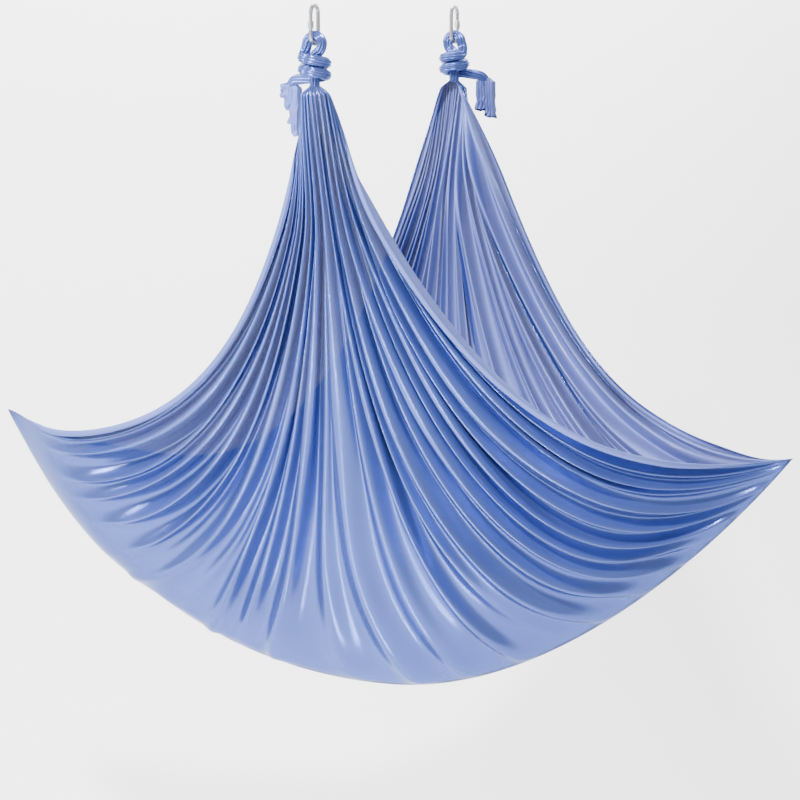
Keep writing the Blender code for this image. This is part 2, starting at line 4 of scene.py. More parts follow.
import bpy
import numpy as np
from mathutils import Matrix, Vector


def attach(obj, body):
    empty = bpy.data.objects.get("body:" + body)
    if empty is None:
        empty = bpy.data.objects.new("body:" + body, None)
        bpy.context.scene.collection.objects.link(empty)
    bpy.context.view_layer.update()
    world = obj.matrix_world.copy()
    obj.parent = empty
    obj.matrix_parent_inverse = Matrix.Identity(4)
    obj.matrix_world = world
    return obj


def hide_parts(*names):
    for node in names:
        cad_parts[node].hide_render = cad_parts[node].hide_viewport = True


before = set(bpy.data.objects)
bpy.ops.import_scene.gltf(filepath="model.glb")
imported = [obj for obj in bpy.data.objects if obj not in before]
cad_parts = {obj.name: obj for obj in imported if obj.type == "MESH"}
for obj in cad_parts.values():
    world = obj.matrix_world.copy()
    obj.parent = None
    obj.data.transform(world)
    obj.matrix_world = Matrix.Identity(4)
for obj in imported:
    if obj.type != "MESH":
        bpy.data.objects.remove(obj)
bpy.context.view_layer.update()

MM = 0.001
TINY = 1e-9                     # least length that a vector is divided by

# Camera
CAMERA_AZIMUTH = radians(24.0)
CAMERA_ELEVATION = radians(6.5)
CAMERA_DISTANCE = 9.0
CAMERA_AIM = (0.0365, 0.0, -1.0615)
CAMERA_LENS = 148.5             # lens and sensor in mm
CAMERA_SENSOR = 36.0

# The drape, with the same sizes as the CAD source
HALF_SPACING = 459 * MM         # from the middle to each hanging point
NECK_DROP = 200 * MM            # where the cloth opens out, below the hanging point
BOTTOM_DROP = 1852 * MM
LEFT_TIP = (-1200 * MM, -1146 * MM)     # x and z of the two tips
RIGHT_TIP = (1151 * MM, -1164 * MM)
TIP_TAPER = 500 * MM            # over which the two panels close onto each tip
LEFT_BELLY_REACH = 845 * MM     # how far the bottom stays level, as a curve handle
RIGHT_BELLY_REACH = 610 * MM
NECK_RIM_R = 12 * MM
NECK_R = 36 * MM
NECK_LENGTH = 22 * MM           # over which the cloth opens from its rim to the neck
NECK_END = 420 * MM             # where the neck has opened into the flat sheet
NECK_WRAP = radians(150)        # how far round each side of the neck the cloth goes
SECTION_SHAPE = 5.0             # of the hanging section across the hammock
SPREAD_POWER = 2.3              # crowds the folds towards the tips
CURVE_SAMPLES = 161

# Handles of the long edges, outward x and z, in the order near the neck, near the tip
EDGE_HANDLES = {
    ("front", "left"): ((172 * MM, -707 * MM), (307 * MM, -1278 * MM)),
    ("front", "right"): ((248 * MM, -852 * MM), (645 * MM, -1232 * MM)),
    ("rear", "right"): ((247 * MM, -520 * MM), (349 * MM, -1313 * MM)),
    ("rear", "left"): ((191 * MM, -687 * MM), (321 * MM, -1686 * MM)),
}

# Handles of the folds at the middle, one third and two thirds of the way to an edge
NECK_HANDLES = ((0, -730 * MM), (50 * MM, -730 * MM), (105 * MM, -710 * MM))
BELLY_HANDLES = {
    ("front", "left"): ((0, -1280 * MM), (220 * MM, -1540 * MM), (320 * MM, -1440 * MM)),
    ("front", "right"): ((0, -1280 * MM), (260 * MM, -1710 * MM), (560 * MM, -1650 * MM)),
    ("rear", "right"): ((0, -1280 * MM), (260 * MM, -1710 * MM), (560 * MM, -1650 * MM)),
    ("rear", "left"): ((0, -1280 * MM), (200 * MM, -1560 * MM), (300 * MM, -1680 * MM)),
}

# The sheet between the two knots
SHEET_WIDTH = 2.8
SHEET_LENGTH = 3.4
SHEET_COLUMNS = 480
SHEET_ROWS = 96                 # from a knot to the bottom
ROW_SPACING_POWER = 1.15        # crowds the rows towards the necks
PANEL_SEEDS = (("front", 3), ("rear", 7))
JOIN_SHARES = (0.9, 1)          # of the way down, where the two panels bend to meet
EDGE_SHARE = 0.992              # where the sheet's edges start to roll, of its half width

# Rolled edges of the sheet
ROLL_R = 8 * MM
ROLL_TURN = radians(200)
ROLL_STEPS = 11
ROLL_AIM_COLUMNS = 3            # columns inwards to the point that gives the edge's way out
ROLL_START_SHARES = (0.02, 0.2)     # of the way down, where the roll grows and where it ends
ROLL_END_SHARES = (0.8, 0.97)
HEM_R = 1.6 * MM
HEM_ROUNDING = 2

# Crests of the folds across the cloth, from its left edge to its right edge
CREST_SHARES = (-1.0, -0.86, -0.74, -0.63, -0.55, -0.47, -0.39, -0.3, -0.2, -0.1,
                0.02, 0.15, 0.28, 0.44, 0.58, 0.71, 0.85, 1.0)
CREST_WANDER_SHARE = 0.18       # how far a crest strays, of the room beside it
CREST_WANDERS = 4               # spans in which it strays, from the neck to the bottom
CREST_SINK_SHARE = 0.12         # how far a crest sinks on average, of the fold's depth
CREST_SINKS = 3
CREST_SINK_SEED = 50

# Depth of the folds as a share of their width, at shares of the way down from a neck
FOLD_DOWN_SHARES = (0.0, 0.02, 0.08, 0.2, 0.35, 0.5, 0.66, 0.8, 0.9, 0.97, 1.0)
FOLD_DEPTH_SHARES = (0.3, 0.8, 1.5, 2.8, 2.8, 2.1, 1.0, 0.5, 0.4, 0.3, 0.0)
FOLD_MAX = 66 * MM
FOLD_LEAST = 0.001 * MM
FOLD_CLEAR_SHARE = 0.5          # of the way to the upright plane between the two panels
LIMIT_POWER = 4                 # how closely the depth keeps to the least of its limits
FOLD_LOSS_SHARE = 0.15          # of the greatest depth, lost low down
FOLD_LOSS_DOWN_SHARES = (0.55, 0.85)
LEFT_FADE_DOWN_SHARES = (0.7, 0.9)      # low on the left wing the folds fade away
LEFT_FADE_OUT_SHARES = (0.15, 0.4)      # of the way out to the left edge

# Low down the crests narrow to ridges, less so on the left wing
RIDGE_HALF_SHARE = 0.13         # half width of a ridge, of the fold's width
RIDGE_MOST_SHARE = 0.9
RIDGE_DOWN_SHARES = (0.45, 0.8)
LEFT_RIDGE_LOSS_SHARE = 0.5
LEFT_RIDGE_OUT_SHARES = (0.2, 0.5)

# A finer fold in each valley: its height, place and end are drawn between two shares
SECOND_HEIGHT_SHARES = (0.45, 0.95)
SECOND_PLACE_SHARES = (0.4, 0.6)
SECOND_END_SHARES = (0.85, 1.4)
SECOND_HALF_SHARE = 0.13        # half width, of the fold's width
SECOND_START_SHARES = (0.1, 0.35)
SECOND_FADE_SHARE = 0.3         # of the way down, over which it loses height at its end
SECOND_LOSS_SHARE = 0.8         # of its height, lost there
LEFT_SECOND_SHARE = 0.1         # of its height, kept on the left wing
LEFT_SECOND_PLACE_SHARES = (-0.45, -0.12)       # across the cloth, between which it grows

# High up the crests bulge over the valleys, and the valleys lean to one side
PIPE_SHARE = 0.1                # how far they bulge, of the fold's width
PIPE_END_SHARES = (0.4, 0.75)   # of the way down, where the bulges end
PIPE_ROOM = 150 * MM            # from the upright middle plane, where the bulges are full
LEAN_SHARE = 0.22               # of the fold's depth
LEAN_STEP = 2.4                 # radians from one valley's lean to the next one's

# Cloth drawn together at a knot, with the same sizes as the CAD source
BAR_R = 5.5 * MM
LOWER_BAR_Z = -93.5 * MM
BUNDLE_R = 14 * MM
SADDLE_CLEARANCE = 1.2 * MM     # between the bar and the facets of the cloth over it
TURN_CLEARANCE = 2.5 * MM       # between two turns of the knot
KNOT_TURNS = 1.75
KNOT_TURN_POINTS = 16
SADDLE_POINTS = 9
STANDING_SHARE = 0.75           # how far out the cloth still is, halfway to the first turn
ROUTE_STEPS = 12                # curve steps between two points of a route
KNOT_TOP_DROP = 32 * MM         # first turn, below the middle of the lower bar
TAIL_BACK = 62 * MM             # from the neck, away from the viewer at both ends
TAIL_TURN_R = 25 * MM
TAIL_TURN_POINTS = 4
TAIL_LEAD = 7 * MM              # straight down into the tail
TAIL_TOP_DROP = 218 * MM
SADDLE_R = BAR_R + SADDLE_CLEARANCE + BUNDLE_R
COIL_R = 2 * BUNDLE_R + TURN_CLEARANCE
COIL_PITCH = 2 * BUNDLE_R + TURN_CLEARANCE
COIL_TOP_Z = LOWER_BAR_Z - KNOT_TOP_DROP

# Strands of the bundled cloth
KNOT_REACH = 4 * MM             # how far the bundle reaches down into the sheet's neck
KNOT_RINGS = 220
KNOT_RING_POINTS = 72
STRANDS = 9
STRAND_SEED = 20
STRAND_SHIFT_SHARE = 0.25       # how far a groove strays, of a strand's width
STRAND_TWIST = 5.0              # turn of the strands over the bundle's length, in radians
STRAND_ROUNDNESS = 0.55         # the less, the flatter the strands and the sharper the grooves
GROOVE_R_SHARE = 0.66           # of the bundle's radius
KNOT_CLOTH = (0.2, 0.7)         # cloth round and along the bundle, for the pattern

# Loose pleats of the tails
TAIL_RISE = 24 * MM             # how far the loose cloth covers the end of the bundle
TAIL_WIDTH = 50 * MM
TAIL_DEPTH = 28 * MM
TAIL_OVERLAP = 9 * MM           # how far each pleat folds over the next
TAIL_TOP_SHARE = 0.5            # of the width and depth, at the top
TAIL_OPEN_SHARES = (0, 0.12)    # of the way down, over which the pleats open
TAIL_CLOTH_WIDTH = 1.2          # for the pattern
TAIL_ROWS = 40
PLEAT_COLUMNS = 14
PLEAT_NOTCH_SHARE = 0.05        # of the tail's length, cut away in the middle of a pleat
CRUMPLES = 7
CRUMPLE_SEED = 60
CRUMPLE_END_SEED = 9
CRUMPLE_ACROSS = 3 * MM
CRUMPLE_DEPTH = 5 * MM
# end, name, hand of the turns, how far out the tail hangs, its length, shares of it by pleat
ENDS = (
    (-1, "front", 1, 97 * MM, 117 * MM, (0.1, 0.14, 0.42, 0.38, 0.72, 0.95, 1.0, 0.9)),
    (1, "rear", -1, 71 * MM, 92 * MM, (1.0, 0.95, 0.98, 0.8, 0.7, 0.78, 0.72)),
)

# Satin tricot, glossy outside and matt inside
SATIN_OUTSIDE = (0.07, 0.105, 0.33)
SATIN_INSIDE = (0.12, 0.155, 0.42)
SATIN_SHINE = 0.65              # share of the cloth that mirrors like metal
SATIN_ROUGHNESS = 0.16
MATT_ROUGHNESS = 0.6
ROUGHNESS_SPREAD = 0.06
COVERAGE = 0.985                # of the spread sheet, which is a little see-through
SATIN_SPECULAR = 0.2
SATIN_SPECULAR_TINT = (0.35, 0.4, 0.55, 1.0)
COAT_WEIGHT = 0.06
COAT_IOR = 1.6
COAT_ROUGHNESS = 0.12
CLOUD_SCALE = 3.0
CLOUD_DETAIL = 3.0
CLOTH_TONES = (0.92, 1.08)      # deep and light, times the colour
TONE_PLACES = (0.3, 0.7)
KNIT_DENSITY = (260, 40, 1)     # of the pattern, across and along the cloth
KNIT_WOBBLE = 0.6
KNIT_STRENGTH = 0.12
KNIT_DEPTH = 0.4 * MM
CREASE_SCALE = 2.4              # creases of the folded pack
CREASE_WIDTH = 0.012
CREASE_STRENGTH = 0.12
CREASE_DEPTH = 1.2 * MM

# Steel: name, colour, roughness
PLATED_STEEL = ("zinc_plated_steel_look", (0.44, 0.45, 0.47), 0.3)
PLAIN_STEEL = ("turned_steel_look", (0.26, 0.27, 0.29), 0.38)
PLATED_NODES = ("_body", "_gate", "_sleeve")
PLAIN_NODES = ("_pin", "_spring", "_plunger")
STEEL_TONES = (0.85, 1.1)
STEEL_CLOUD_SCALE = 60.0
STEEL_CLOUD_DETAIL = 4.0
ROUGHNESS_BELOW = 0.07          # how far the roughness goes below and above the look's own
ROUGHNESS_ABOVE = 0.1
GRAIN_SCALE = 900.0
GRAIN_DETAIL = 2.0
GRAIN_STRENGTH = 0.1
GRAIN_DEPTH = 0.2 * MM

# Studio
PAPER_COLOUR = (0.93, 0.93, 0.93, 1.0)
PAPER_ROUGHNESS = 0.9
FLOOR_Z = -2.7
FLOOR_FRONT_Y = -60.0
FLOOR_HALF_WIDTH = 40.0
WALL_Y = 3.2
WALL_TOP_Z = 6.0
BEND_R = 1.6                    # between the floor and the wall
BEND_STEPS = 12
WORLD_COLOUR = (1.0, 1.0, 1.0, 1.0)
WORLD_STRENGTH = 0.7
LIGHT_AIM = (0, 0, -1.1)
# name, place, what it is aimed at, width and height, power in watts
LIGHTS = (
    ("key_light", (0.5, -3.9, 2.2), LIGHT_AIM, (0.3, 0.5), 600),
    ("left_light", (-3.7, -2.6, 1.2), LIGHT_AIM, (0.25, 1.8), 470),
    ("low_strip_light", (-0.1, -1.6, -2.6), (-0.1, -1.55, 0), (0.08, 2.1), 26),
    ("front_strip_light", (-0.4, -3.4, -1.5), LIGHT_AIM, (0.08, 2.0), 115),
    ("top_light", (0.5, 0.5, 3.2), LIGHT_AIM, (2.0, 2.0), 30),
    ("wall_light", (-0.6, 1.2, 2.4), (-1.4, 3.2, -0.6), (4.0, 1.2), 420),
)


def cubic(handles, t):
    """Points at t of the curve that four handles give."""
    p = np.array(handles, dtype=float)
    t = np.asarray(t)[..., None]
    return ((1 - t) ** 3 * p[0] + 3 * (1 - t) ** 2 * t * p[1]
            + 3 * (1 - t) * t ** 2 * p[2] + t ** 3 * p[3])


def ease(low, high, x):
    """0 up to low, 1 from high on, and smooth between them."""
    t = np.clip((np.asarray(x, dtype=float) - low) / (high - low), 0, 1)
    return t * t * (3 - 2 * t)


def through(p0, p1, p2, p3, t):
    """Smooth curve from p1 at 0 to p2 at 1, between the neighbours p0 and p3."""
    return 0.5 * (2 * p1 + (p2 - p0) * t + (2 * p0 - 5 * p1 + 4 * p2 - p3) * t ** 2
                  + (3 * p1 - p0 - 3 * p2 + p3) * t ** 3)


def smooth_noise(count, spans, seed):
    """Smooth random values from about -1 to 1 at count points, drawn anew once a span."""
    values = np.random.default_rng(seed).uniform(-1, 1, spans + 3)
    x = np.linspace(0, spans, count)
    i = np.floor(x).astype(int).clip(0, spans - 1)
    return through(values[i], values[i + 1], values[i + 2], values[i + 3], x - i)


def length_along(points):
    """Length of a line of points from its start to each of them."""
    steps = np.linalg.norm(np.diff(points, axis=0), axis=1)
    return np.concatenate([[0], np.cumsum(steps)])


def at_share(points, shares):
    """Points at shares of the length of a line of points."""
    along = length_along(points)
    wanted = np.asarray(shares) * along[-1]
    return np.stack([np.interp(wanted, along, points[:, k]) for k in range(points.shape[1])],
                    axis=-1)


def unit(vectors):
    """Vectors of the same ways, 1 long."""
    return vectors / np.maximum(np.linalg.norm(vectors, axis=-1, keepdims=True), TINY)


def belly_line(side):
    """Half of the fold line along the hammock's bottom, from the middle to a tip."""
    tip = LEFT_TIP if side == "left" else RIGHT_TIP
    reach = -LEFT_BELLY_REACH if side == "left" else RIGHT_BELLY_REACH
    handles = [(0, -BOTTOM_DROP), (reach, -BOTTOM_DROP), tip, tip]
    return cubic(handles, np.linspace(0, 1, CURVE_SAMPLES))


def across_guides(values, share):
    """Cubic through values at the middle, one third, two thirds and the edge."""
    a = share
    weights = (-4.5 * (a - 1 / 3) * (a - 2 / 3) * (a - 1), 13.5 * a * (a - 2 / 3) * (a - 1),
               -13.5 * a * (a - 1 / 3) * (a - 1), 4.5 * a * (a - 1 / 3) * (a - 2 / 3))
    return sum(w * np.array(v, dtype=float) for w, v in zip(weights, values))


def fall_line(panel, spread, row_shares):
    """One line of the unfolded cloth from its neck to the bottom, as in the CAD source.

    spread runs from -1 at the left edge to 1 at the right edge.
    """
    side = "left" if spread < 0 else "right"
    way = -1 if side == "left" else 1
    share = abs(spread)
    near_neck, near_tip = EDGE_HANDLES[(panel, side)]
    first = across_guides((*NECK_HANDLES, near_neck), share)
    second = across_guides((*BELLY_HANDLES[(panel, side)], near_tip), share)
    end = at_share(belly_line(side), 1 - (1 - share) ** SPREAD_POWER)
    handles = [(0, -NECK_DROP), (way * first[0], first[1]), (way * second[0], second[1]), end]
    flat = cubic(handles, np.linspace(0, 1, CURVE_SAMPLES))

    belly = np.vstack([belly_line("left")[::-1], belly_line("right")[1:]])
    low = np.interp(flat[:, 0], belly[:, 0], belly[:, 1])
    rise = np.clip((flat[:, 1] - low) / (-NECK_DROP - low), 0, 1)
    out = HALF_SPACING * np.arccosh(1 + (SECTION_SHAPE - 1) * rise) / acosh(SECTION_SHAPE)
    tip = LEFT_TIP if side == "left" else RIGHT_TIP
    closed_share = 1 - np.clip(np.abs(flat[:, 0] - tip[0]) / TIP_TAPER, 0, 1)
    out = out * (1 - closed_share ** 2)
    front = -1 if panel == "front" else 1
    line = np.stack([flat[:, 0], front * out, flat[:, 1]], axis=1)

    down = length_along(line)
    radius = NECK_RIM_R + (NECK_R - NECK_RIM_R) * ease(0, NECK_LENGTH, down)
    radius = radius * (1 - ease(NECK_LENGTH, NECK_END, down))
    wrap = NECK_WRAP * spread
    line[:, 0] += radius * sin(wrap)
    line[:, 1] += front * radius * cos(wrap)
    return at_share(line, row_shares)


def crest_lines(crests, rows, seed):
    """Where each crest is across the cloth, and how far it sinks, row by row."""
    wander = np.zeros((len(crests), rows))
    sink = np.zeros((len(crests), rows))
    for i in range(1, len(crests) - 1):
        room = min(crests[i] - crests[i - 1], crests[i + 1] - crests[i])
        wander[i] = CREST_WANDER_SHARE * room * smooth_noise(rows, CREST_WANDERS, seed + i)
        noise = smooth_noise(rows, CREST_SINKS, seed + CREST_SINK_SEED + i)
        sink[i] = CREST_SINK_SHARE + CREST_SINK_SHARE * noise
    return crests[:, None] + wander, sink


def second_folds(crests, seed):
    """Height, place and end of the finer fold in each valley."""
    random = np.random.default_rng(seed)
    height = random.uniform(*SECOND_HEIGHT_SHARES, len(crests))
    height *= LEFT_SECOND_SHARE + (1 - LEFT_SECOND_SHARE) * ease(*LEFT_SECOND_PLACE_SHARES, crests)
    place = random.uniform(*SECOND_PLACE_SHARES, len(crests))
    end = random.uniform(*SECOND_END_SHARES, len(crests))
    return height, place, end


def fold_depth(down, left, width, clear):
    """Depth of the folds of a row: the least of three limits, rounded where they cross."""
    share = np.interp(down, FOLD_DOWN_SHARES, FOLD_DEPTH_SHARES)
    most = FOLD_MAX * (1 - FOLD_LOSS_SHARE * ease(*FOLD_LOSS_DOWN_SHARES, down))
    limits = np.stack([share * width, np.full(len(width), most), FOLD_CLEAR_SHARE * clear])
    limits = np.maximum(limits, FOLD_LEAST)
    depth = np.sum(limits ** -LIMIT_POWER, axis=0) ** (-1 / LIMIT_POWER)
    return depth * (1 - ease(*LEFT_FADE_OUT_SHARES, left) * ease(*LEFT_FADE_DOWN_SHARES, down))


def valley_profile(t, down, left):
    """0 on a crest and 1 in a valley: round high up, thin ridges over a flat valley low down."""
    narrow = RIDGE_MOST_SHARE * ease(*RIDGE_DOWN_SHARES, down)
    narrow = narrow * (1 - LEFT_RIDGE_LOSS_SHARE * ease(*LEFT_RIDGE_OUT_SHARES, left))
    round_fold = (1 - np.cos(2 * pi * t)) / 2
    from_crest = np.minimum(t, 1 - t)
    ridged = 1 - np.exp(-(from_crest / RIDGE_HALF_SHARE) ** 2)
    return round_fold * (1 - narrow) + ridged * narrow


def second_profile(t, down, height, place, end):
    """Share of the valley's depth that the finer fold in it takes away."""
    lost = SECOND_LOSS_SHARE * ease(end - SECOND_FADE_SHARE, end, down)
    grown = ease(*SECOND_START_SHARES, down) * (1 - lost)
    return height * grown * np.exp(-((t - place) / SECOND_HALF_SHARE) ** 2)


def fold_panel(panel, base, spreads, down_shares, seed):
    """Push the cloth between the crests in towards the middle of the hammock."""
    rows = len(down_shares)
    across = np.gradient(base, axis=0)
    outward = np.cross(across, np.gradient(base, axis=1))
    way = -1 if panel == "front" else 1
    outward = unit(outward * np.sign(way * outward[len(spreads) // 2, rows // 3, 1]))
    sideways = unit(across)
    steps = np.linalg.norm(np.diff(base, axis=0), axis=2)
    run = np.concatenate([np.zeros((1, rows)), np.cumsum(steps, axis=0)])

    crests = np.array(CREST_SHARES)
    places, sinks = crest_lines(crests, rows, seed)
    second_height, second_place, second_end = second_folds(crests, seed)
    moved = base.copy()
    for j, down in enumerate(down_shares):
        place = places[:, j]
        i = np.clip(np.searchsorted(place, spreads, side="right") - 1, 0, len(crests) - 2)
        t = (spreads - place[i]) / (place[i + 1] - place[i])
        at_crest = np.interp(place, spreads, run[:, j])
        width = at_crest[i + 1] - at_crest[i]
        clear = np.abs(base[:, j, 1])
        depth = fold_depth(down, -spreads, width, clear)
        profile = valley_profile(t, down, -spreads)
        second = second_profile(t, down, second_height[i], second_place[i], second_end[i])
        soft = ease(0, 1, t)
        sink = sinks[i, j] * (1 - soft) + sinks[i + 1, j] * soft
        inward = depth * (sink * (1 - profile) + profile * (1 - second))
        lean = LEAN_SHARE * np.sin(LEAN_STEP * i + seed)
        bulge = PIPE_SHARE * width * np.sin(4 * pi * t) * (1 - ease(*PIPE_END_SHARES, down))
        bulge *= ease(0, PIPE_ROOM, clear)
        moved[:, j] -= outward[:, j] * inward[:, None]
        moved[:, j] += sideways[:, j] * (lean * profile * depth + bulge)[:, None]
    return moved


def rolled_edge(edge, inner, down_shares):
    """Strip that turns the sheet's edge over towards the photographed side."""
    side = unit(edge - inner)
    over = np.cross(side, np.gradient(edge, axis=0))
    over = unit(over * -np.sign(over[len(down_shares) // 2, 1]))
    grown = ease(*ROLL_START_SHARES, down_shares) * (1 - ease(*ROLL_END_SHARES, down_shares))
    radius = (ROLL_R * grown)[:, None]
    angles = ROLL_TURN * np.arange(1, ROLL_STEPS + 1) / ROLL_STEPS
    return np.array([edge + radius * (sin(a) * side + (1 - cos(a)) * over) for a in angles])


def cloth_surface():
    """Grid of the folded sheet, from the front knot to the rear knot."""
    shares = (np.arange(SHEET_ROWS + 1) / SHEET_ROWS) ** ROW_SPACING_POWER
    spreads = np.linspace(-EDGE_SHARE, EDGE_SHARE, SHEET_COLUMNS + 1)
    panels = []
    for panel, seed in PANEL_SEEDS:
        flat = np.array([fall_line(panel, s, shares) for s in spreads])
        folded = fold_panel(panel, flat, spreads, shares, seed)
        left = rolled_edge(folded[0], folded[ROLL_AIM_COLUMNS], shares)
        right = rolled_edge(folded[-1], folded[-1 - ROLL_AIM_COLUMNS], shares)
        panels.append(np.concatenate([left[::-1], folded, right]))
    front, rear = panels
    middle = (front[:, -1] + rear[:, -1]) / 2
    near = ease(*JOIN_SHARES, shares)[None, :, None]
    front = front + (middle - front[:, -1])[:, None] * near
    rear = rear + (middle - rear[:, -1])[:, None] * near
    return np.concatenate([front, rear[:, -2::-1]], axis=1)


def place_in_scene(name, data):
    """New object of a mesh, curve, light or camera."""
    placed = bpy.data.objects.new(name, data)
    bpy.context.scene.collection.objects.link(placed)
    return placed


def grid_object(name, grid, look, closed, size):
    """Mesh of a grid of points with a UV map in metres of cloth."""
    columns, rows = grid.shape[:2]
    faces = []
    uvs = []
    last = columns if closed else columns - 1
    for i in range(last):
        k = (i + 1) % columns
        for j in range(rows - 1):
            faces.append((i * rows + j, k * rows + j, k * rows + j + 1, i * rows + j + 1))
            u0, u1 = i / last * size[0], (i + 1) / last * size[0]
            v0, v1 = j / (rows - 1) * size[1], (j + 1) / (rows - 1) * size[1]
            uvs.extend((u0, v0, u1, v0, u1, v1, u0, v1))
    mesh = bpy.data.meshes.new(name)
    mesh.from_pydata(grid.reshape(-1, 3).tolist(), [], faces)
    mesh.uv_layers.new(name="cloth").data.foreach_set("uv", uvs)
    mesh.materials.append(look)
    mesh.shade_smooth()
    return place_in_scene(name, mesh)


def knot_route(hand, tail_out):
    """Middle line of the bundled cloth at one end, as in the CAD source but for its start.

    hand is 1 or -1, for turns one way or the other.
    """
    neck_end = -NECK_DROP - KNOT_REACH
    route = [(0, 0, neck_end), (0, 0, (neck_end + COIL_TOP_Z) / 2), (0, 0, COIL_TOP_Z)]
    route.append((SADDLE_R * STANDING_SHARE, 0, (COIL_TOP_Z + LOWER_BAR_Z) / 2))
    for i in range(SADDLE_POINTS):
        angle = pi * i / (SADDLE_POINTS - 1)
        route.append((SADDLE_R * cos(angle), 0, LOWER_BAR_Z + SADDLE_R * sin(angle)))
    route.append((-(SADDLE_R + COIL_R) / 2, 0, (COIL_TOP_Z + LOWER_BAR_Z) / 2))
    for i in range(1, round(KNOT_TURNS * KNOT_TURN_POINTS) + 1):
        angle = pi + 2 * pi * i / KNOT_TURN_POINTS
        route.append((COIL_R * cos(angle), COIL_R * sin(angle),
                      COIL_TOP_Z - COIL_PITCH * i / KNOT_TURN_POINTS))
    way = Vector((-tail_out, TAIL_BACK - COIL_R, 0)).normalized()
    end = Vector((-tail_out, TAIL_BACK, -TAIL_TOP_DROP))
    for i in range(TAIL_TURN_POINTS):
        angle = pi / 2 * i / (TAIL_TURN_POINTS - 1)
        rise = Vector((0, 0, TAIL_LEAD + TAIL_TURN_R * cos(angle)))
        route.append(end - way * TAIL_TURN_R * (1 - sin(angle)) + rise)
    route.append(end)
    return np.array([(x, hand * y, z) for x, y, z in route])


def smooth_route(route, count):
    """Count points, evenly spaced, on a smooth curve through the points of a route."""
    padded = np.vstack([2 * route[0] - route[1], route, 2 * route[-1] - route[-2]])
    fine = []
    for i in range(1, len(padded) - 2):
        for t in np.linspace(0, 1, ROUTE_STEPS, endpoint=False):
            fine.append(through(*padded[i - 1:i + 3], t))
    fine.append(route[-1])
    return at_share(np.array(fine), np.linspace(0, 1, count))


def to_end(points, end):
    """Place points of an end that faces the front at the front or, turned half round, rear."""
    placed = points * np.array([-end, -end, 1.0])
    placed[..., 1] += end * HALF_SPACING
    return placed


def sweep(path, section):
    """Grid of a section, given as points by angle and ring, along a path without twist."""
    tangents = unit(np.gradient(path, axis=0))
    side = np.array([1.0, 0, 0])
    sides = []
    for tangent in tangents:
        side = unit(side - tangent * side.dot(tangent))
        sides.append(side)
    sides = np.array(sides)
    ups = np.cross(tangents, sides)
    return path[None] + sides[None] * section[..., :1] + ups[None] * section[..., 1:]


def strand_section(seed):
    """Section of the bundle, ring by ring: rounded strands that twist, with grooves between."""
    angles = 2 * pi * np.arange(KNOT_RING_POINTS) / KNOT_RING_POINTS
    shift = np.random.default_rng(seed).uniform(-STRAND_SHIFT_SHARE, STRAND_SHIFT_SHARE, STRANDS)
    grooves = np.sort(shift + np.arange(STRANDS)) * 2 * pi / STRANDS
    section = np.zeros((KNOT_RING_POINTS, KNOT_RINGS, 2))
    for r, share in enumerate(np.linspace(0, 1, KNOT_RINGS)):
        turned = (angles - STRAND_TWIST * share) % (2 * pi)
        i = np.searchsorted(grooves, turned, side="right") - 1
        low = grooves[i % STRANDS] - np.where(i < 0, 2 * pi, 0)
        high = np.where(i + 1 < STRANDS, grooves[(i + 1) % STRANDS], grooves[0] + 2 * pi)
        t = (turned - low) / (high - low)
        bulge = np.abs(np.sin(pi * t)) ** STRAND_ROUNDNESS
        radius = BUNDLE_R * (GROOVE_R_SHARE + (1 - GROOVE_R_SHARE) * bulge)
        section[:, r, 0] = radius * np.cos(angles)
        section[:, r, 1] = radius * np.sin(angles)
    return section


def build_knot(end, name, hand, tail_out, look):
    """Bundle of cloth over the carabiner's lower bar and round itself."""
    path = smooth_route(knot_route(hand, tail_out), KNOT_RINGS)
    grid = to_end(sweep(path, strand_section(STRAND_SEED + end)), end)
    knot = grid_object(f"{name}_knot_wrap", grid, look, True, KNOT_CLOTH)
    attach(knot, "hammock")
    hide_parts(f"{name}_knot")
    return knot


def build_tail(end, name, hand, out, length, length_shares, look):
    """Loose end of the cloth: crumpled pleats side by side, cut off at uneven heights."""
    pleats = len(length_shares) - 1
    columns = pleats * PLEAT_COLUMNS + 1
    grid = np.zeros((columns, TAIL_ROWS, 3))
    seed = CRUMPLE_SEED + CRUMPLE_END_SEED * end
    crumple = [smooth_noise(TAIL_ROWS, CRUMPLES, seed + i) for i in range(pleats + 1)]
    for c, phase in enumerate(np.linspace(0, pleats, columns)):
        i = min(int(phase), pleats - 1)
        t = float(ease(0, 1, phase - i))
        long = TAIL_RISE + length * (length_shares[i] * (1 - t) + length_shares[i + 1] * t)
        long -= PLEAT_NOTCH_SHARE * length * abs(sin(pi * phase))
        fold = (1 - cos(2 * pi * phase)) / 2
        for r, v in enumerate(np.linspace(0, 1, TAIL_ROWS)):
            opened = TAIL_TOP_SHARE + (1 - TAIL_TOP_SHARE) * float(ease(*TAIL_OPEN_SHARES, v))
            bend = crumple[i][r] * (1 - t) + crumple[i + 1][r] * t
            x = (phase / pleats - 0.5) * TAIL_WIDTH * opened
            y = (fold - 0.5) * TAIL_DEPTH * opened
            x += TAIL_OVERLAP * sin(2 * pi * phase) * opened + CRUMPLE_ACROSS * bend * v
            y += CRUMPLE_DEPTH * bend * v
            grid[c, r] = (x - out, y + hand * TAIL_BACK, TAIL_RISE - TAIL_TOP_DROP - long * v)
    cloth_size = (TAIL_CLOTH_WIDTH, length)
    tail = grid_object(f"{name}_tail_folds", to_end(grid, end), look, False, cloth_size)
    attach(tail, "hammock")
    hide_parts(f"{name}_tail")
    return tail


